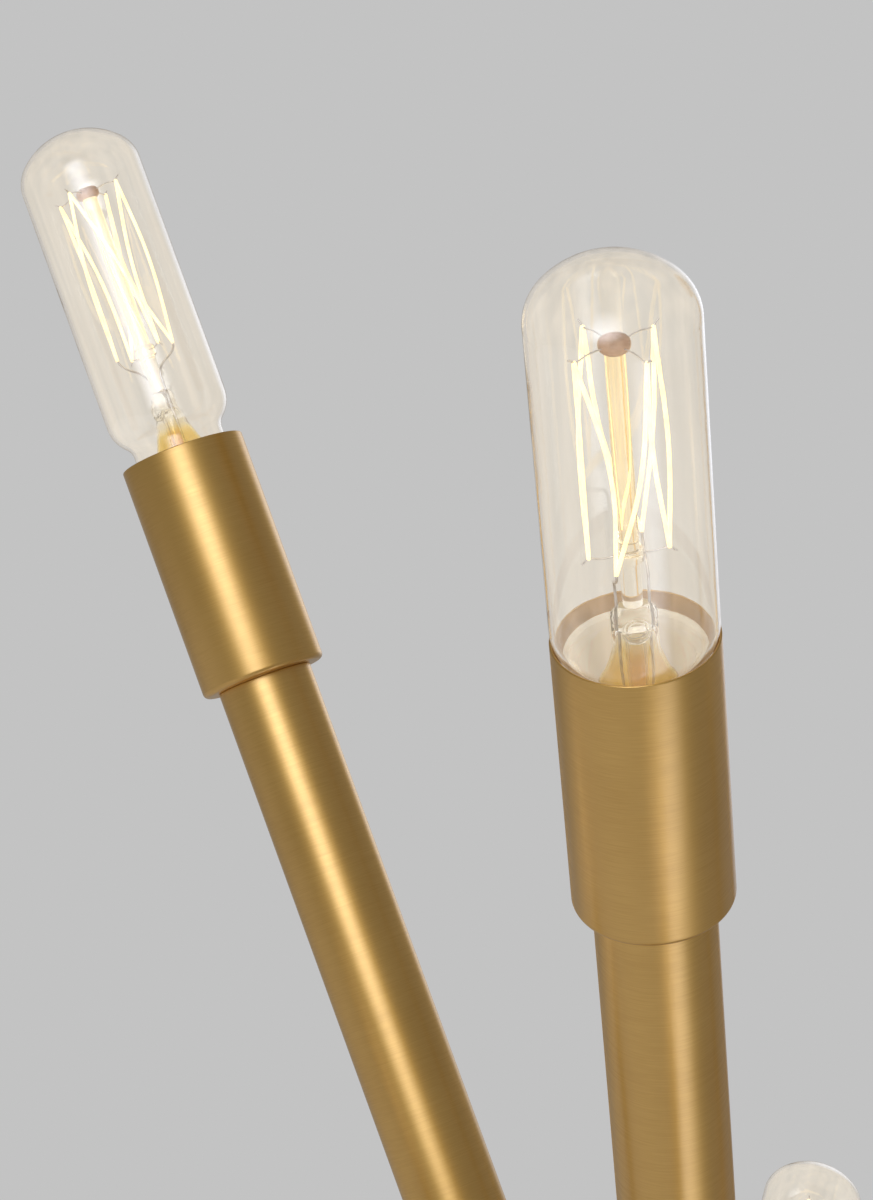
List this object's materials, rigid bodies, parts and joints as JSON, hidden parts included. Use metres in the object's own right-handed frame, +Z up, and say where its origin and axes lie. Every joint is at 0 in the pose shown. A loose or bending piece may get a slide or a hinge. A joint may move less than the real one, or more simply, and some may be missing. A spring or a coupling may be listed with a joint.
{
  "type": "chandelier",
  "caption": "Brass chandelier on a tilting stem below a round ceiling canopy: straight arms lean up and out of ball hubs, each ending in a plain cup with a clear tubular filament lamp.",
  "frame": {"origin": "centre of the mounting strap's two slots, on the ceiling plane", "axes": "+Z up into the ceiling, +X along the strap, -Y toward the viewer"},
  "size_m": [0.6388, 0.5872, 0.958],
  "materials": {
    "brushed_brass": "satin brushed, clear lacquered",
    "plated_steel": "zinc plated",
    "clear_glass": "clear, slightly warm",
    "cap_metal": "rolled thread, bright",
    "filament": "thin drawn wire",
    "white_holder": "glazed",
    "wire_cover": "smooth"
  },
  "bodies": {
    "ceiling_fixing": {"mounting_strap": "plated_steel", "hanging_bolt": "plated_steel", "strap_locknut": "plated_steel", "canopy": "brushed_brass", "canopy_ring": "brushed_brass"},
    "swivel": {"swivel_yoke": "brushed_brass", "swivel_pin": "brushed_brass"},
    "light_frame": {"stem_eye": "brushed_brass", "stem": "brushed_brass", "column": "brushed_brass", "upper_hub_body": "brushed_brass", "upper_hub_cover": "brushed_brass", "upper_hub_tie": "plated_steel", "lower_hub_body": "brushed_brass", "lower_hub_cover": "brushed_brass", "lower_hub_tie": "plated_steel", "finial": "brushed_brass", "arm_nipples": "plated_steel", "lampholders": "white_holder", "lead_wires": "wire_cover", "arm_tube_1": "brushed_brass", "arm_tube_2": "brushed_brass", "arm_tube_3": "brushed_brass", "arm_tube_4": "brushed_brass", "arm_tube_5": "brushed_brass", "arm_tube_6": "brushed_brass", "arm_tube_7": "brushed_brass", "arm_tube_8": "brushed_brass", "socket_cup_1": "brushed_brass", "socket_cup_2": "brushed_brass", "socket_cup_3": "brushed_brass", "socket_cup_4": "brushed_brass", "socket_cup_5": "brushed_brass", "socket_cup_6": "brushed_brass", "socket_cup_7": "brushed_brass", "socket_cup_8": "brushed_brass"},
    "bulb_1": {"bulb_glass_1": "clear_glass", "bulb_cap_1": "cap_metal", "bulb_filament_1": "filament"},
    "bulb_2": {"bulb_glass_2": "clear_glass", "bulb_cap_2": "cap_metal", "bulb_filament_2": "filament"},
    "bulb_3": {"bulb_glass_3": "clear_glass", "bulb_cap_3": "cap_metal", "bulb_filament_3": "filament"},
    "bulb_4": {"bulb_glass_4": "clear_glass", "bulb_cap_4": "cap_metal", "bulb_filament_4": "filament"},
    "bulb_5": {"bulb_glass_5": "clear_glass", "bulb_cap_5": "cap_metal", "bulb_filament_5": "filament"},
    "bulb_6": {"bulb_glass_6": "clear_glass", "bulb_cap_6": "cap_metal", "bulb_filament_6": "filament"},
    "bulb_7": {"bulb_glass_7": "clear_glass", "bulb_cap_7": "cap_metal", "bulb_filament_7": "filament"},
    "bulb_8": {"bulb_glass_8": "clear_glass", "bulb_cap_8": "cap_metal", "bulb_filament_8": "filament"}
  },
  "joints": [
    {"name": "swivel_turn", "type": "hinge", "parent": "ceiling_fixing", "child": "swivel", "pos_m": [0, 0, -0.035], "axis": [0, 0, 1], "range_deg": [-170, 170]},
    {"name": "stem_tilt", "type": "hinge", "parent": "swivel", "child": "light_frame", "pos_m": [0, 0, -0.0523], "axis": [1, 0, 0], "range_deg": [-25, 25]},
    {"name": "bulb_1_out", "type": "slide", "parent": "light_frame", "child": "bulb_1", "axis": [0.5217, -0.3519, 0.7771], "range_m": [0, 0.06]},
    {"name": "bulb_2_out", "type": "slide", "parent": "light_frame", "child": "bulb_2", "axis": [0.5217, 0.3519, 0.7771], "range_m": [0, 0.06]},
    {"name": "bulb_3_out", "type": "slide", "parent": "light_frame", "child": "bulb_3", "axis": [-0.5217, 0.3519, 0.7771], "range_m": [-0.0095, 0.06]},
    {"name": "bulb_4_out", "type": "slide", "parent": "light_frame", "child": "bulb_4", "axis": [-0.5217, -0.3519, 0.7771], "range_m": [0, 0.06]},
    {"name": "bulb_5_out", "type": "slide", "parent": "light_frame", "child": "bulb_5", "axis": [0.6289, -0.022, 0.7771], "range_m": [0, 0.06]},
    {"name": "bulb_6_out", "type": "slide", "parent": "light_frame", "child": "bulb_6", "axis": [0.256, 0.5749, 0.7771], "range_m": [0, 0.06]},
    {"name": "bulb_7_out", "type": "slide", "parent": "light_frame", "child": "bulb_7", "axis": [-0.6289, 0.022, 0.7771], "range_m": [0, 0.06]},
    {"name": "bulb_8_out", "type": "slide", "parent": "light_frame", "child": "bulb_8", "axis": [-0.256, -0.5749, 0.7771], "range_m": [0, 0.06]}
  ]
}
